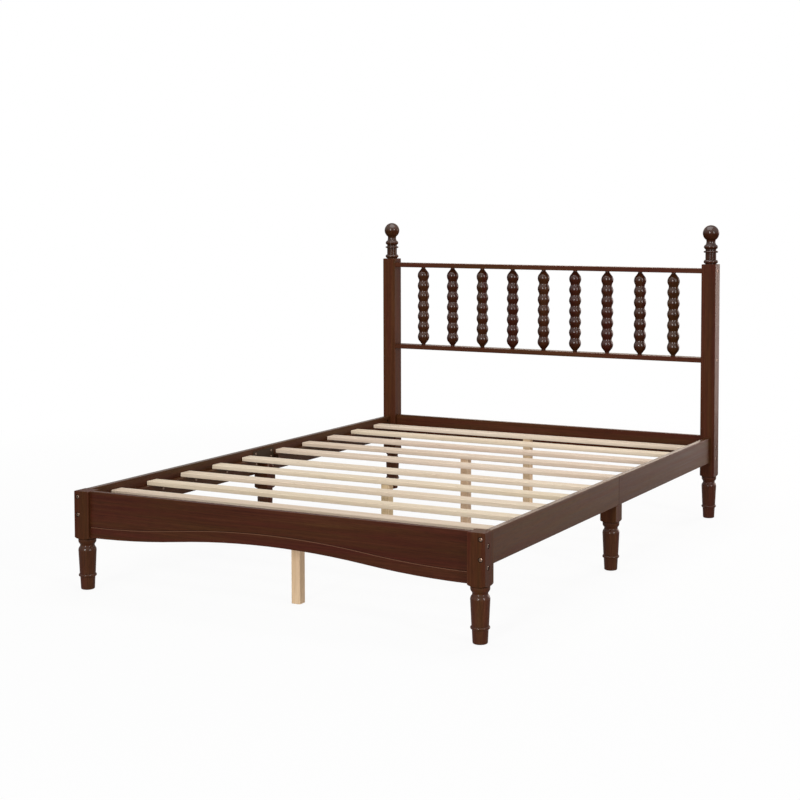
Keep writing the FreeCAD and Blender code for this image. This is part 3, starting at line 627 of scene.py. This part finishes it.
def along_bolt_spots(node, way):
    """Seats of bolts that point along Y, inwards from one end of the bed."""
    low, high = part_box(node)
    seat = low[1] + BOLT_HEAD_HEIGHT if way > 0 else high[1] - BOLT_HEAD_HEIGHT
    columns = (low[0] + BOLT_HEAD_RADIUS, high[0] - BOLT_HEAD_RADIUS)
    heights = (low[2] + BOLT_HEAD_RADIUS, high[2] - BOLT_HEAD_RADIUS)
    return [((x, seat, z), (0, way, 0)) for x in columns for z in heights]


def mid_bolt_spots(seat):
    """Seats of bolts that point outwards from the middle legs' inner faces into the side rails."""
    low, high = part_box("mid_leg_bolts")
    rows = (low[1] + BOLT_HEAD_RADIUS, high[1] - BOLT_HEAD_RADIUS)
    heights = (low[2] + BOLT_HEAD_RADIUS, high[2] - BOLT_HEAD_RADIUS)
    return [((way * seat, y, z), (way, 0, 0)) for way in (-1, 1) for y in rows for z in heights]


def frame_bolt_length():
    """The reach of a bolt below its head, which is the same in every joint of the frame."""
    low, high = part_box("side_rail_foot_bolts")
    return high[1] - low[1] - BOLT_HEAD_HEIGHT


def make_bolts():
    """Socket-head bolts in place of the plain ones of the solids."""
    frame_bolt = bolt_rings(frame_bolt_length())
    for node in ("foot_rail_bolts", "headboard_rail_bolts", "headboard_bottom_rail_bolts"):
        item = fastener_group(f"{node}_dressed", frame_bolt, across_bolt_spots(node))
        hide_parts(node)
    for node, way in (("side_rail_foot_bolts", 1), ("side_rail_head_bolts", -1)):
        item = fastener_group(f"{node}_dressed", frame_bolt, along_bolt_spots(node, way))
        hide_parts(node)
    inner_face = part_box("mid_leg_right")[0][0]
    outer_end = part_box("mid_leg_bolts")[1][0]
    seat = inner_face + MID_BOLT_SINK + BOLT_HEAD_HEIGHT
    item = fastener_group("mid_leg_bolts_dressed", bolt_rings(outer_end - seat), mid_bolt_spots(seat))
    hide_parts("mid_leg_bolts")


def make_ledger_screws():
    """Screws through the ledgers into the side rails, beside each slat."""
    spots = []
    for side, outwards in SIDES:
        for half, way, slats in HALVES:
            low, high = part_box(f"slat_ledger_{side}_{half}")
            face = high[0] if outwards < 0 else low[0]
            for slat in slats:
                slat_low, slat_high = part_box(f"slat_{slat}")
                y = (slat_low[1] + slat_high[1]) / 2 - way * LEDGER_SCREW_SHIFT
                spots.append(((face, y, (low[2] + high[2]) / 2), (outwards, 0, 0)))
    fastener_group("ledger_screws", screw_rings(), spots)


def make_plate_screws():
    """Screws through the joint plates into both halves of each side rail."""
    spots = []
    for side, outwards in SIDES:
        low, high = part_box(f"rail_joint_plate_{side}")
        face = high[0] if outwards < 0 else low[0]
        for y in (-PLATE_SCREW_SPREAD / 2, PLATE_SCREW_SPREAD / 2):
            for z in (-PLATE_SCREW_RISE / 2, PLATE_SCREW_RISE / 2):
                place = (face, (low[1] + high[1]) / 2 + y, (low[2] + high[2]) / 2 + z)
                spots.append((place, (outwards, 0, 0)))
    fastener_group("joint_plate_screws", screw_rings(), spots)


def seen_directly(tree):
    """One for rays from the camera or off gloss or glass, nothing for rays that light the bed."""
    path = add_node(tree, "LightPath").outputs
    near = calculate(tree, "MAXIMUM", path["Is Camera Ray"], path["Is Glossy Ray"])
    return calculate(tree, "MAXIMUM", near, path["Is Transmission Ray"])


def make_floor():
    """A wide pale floor that keeps a soft shadow near the bed and turns plain white farther off."""
    bpy.ops.mesh.primitive_plane_add(size=FLOOR_SIDE)
    floor = bpy.context.object
    floor.name = "floor"
    material, tree = blank_material("floor_white")
    place = add_node(tree, "NewGeometry").outputs["Position"]
    distance = add_node(tree, "VectorMath", {0: place}, operation="LENGTH").outputs["Value"]
    white_share = map_range(tree, distance, FLOOR_FADE, FLOOR_WHITE)
    seen = seen_directly(tree)
    matt = add_node(tree, "BsdfDiffuse", {"Color": map_range(tree, seen, (0.0, 1.0), FLOOR_TONES)})
    glow = add_node(tree, "Emission", {"Color": (*WHITE, 1.0), "Strength": 1.0})
    mixed = add_node(tree, "MixShader", {
        0: calculate(tree, "MULTIPLY", seen, white_share),
        1: matt.outputs["BSDF"],
        2: glow.outputs["Emission"],
    })
    finish_material(tree, mixed.outputs["Shader"])
    floor.data.materials.append(material)


def make_world():
    """A world that is seen as white and lights the bed more weakly."""
    world = bpy.data.worlds.new("studio")
    bpy.context.scene.world = world
    world.use_nodes = True
    tree = world.node_tree
    tree.nodes.clear()
    strength = map_range(tree, seen_directly(tree), (0.0, 1.0), (WORLD_LIGHT, 1.0))
    background = add_node(tree, "Background", {"Color": (*WHITE, 1.0), "Strength": strength})
    output = add_node(tree, "OutputWorld")
    tree.links.new(background.outputs["Background"], output.inputs["Surface"])


def add_softbox(name, place, target, size, power, colour):
    """An area lamp of a width and height that the camera doesn't see."""
    lamp = bpy.data.lights.new(name, "AREA")
    lamp.shape = "RECTANGLE"
    lamp.size, lamp.size_y = size
    lamp.energy = power
    lamp.color = colour
    item = bpy.data.objects.new(name, lamp)
    item.location = place
    item.rotation_euler = (Vector(target) - Vector(place)).to_track_quat("-Z", "Y").to_euler()
    item.visible_camera = False
    bpy.context.collection.objects.link(item)


def make_lights():
    """Every softbox of the studio."""
    for softbox in SOFTBOXES:
        add_softbox(*softbox)


def make_camera():
    """The photograph's camera, with a shift for its off-centre framing."""
    lens = bpy.data.cameras.new("photograph")
    lens.sensor_width = SENSOR_WIDTH
    lens.lens = FOCAL_PIXELS * SENSOR_WIDTH / IMAGE_SIDE
    lens.shift_x = (IMAGE_SIDE / 2 - OPTICAL_CENTRE[0]) / IMAGE_SIDE
    lens.shift_y = (OPTICAL_CENTRE[1] - IMAGE_SIDE / 2) / IMAGE_SIDE
    camera = bpy.data.objects.new("photograph", lens)
    camera.location = CAMERA_PLACE
    camera.rotation_euler = (math.pi / 2 - CAMERA_TILT, 0.0, CAMERA_TURN)
    bpy.context.collection.objects.link(camera)
    bpy.context.scene.camera = camera


dress_solids()
make_bolts()
make_ledger_screws()
make_plate_screws()
make_floor()
make_world()
make_lights()
make_camera()
bpy.context.scene.view_settings.view_transform = "Standard"
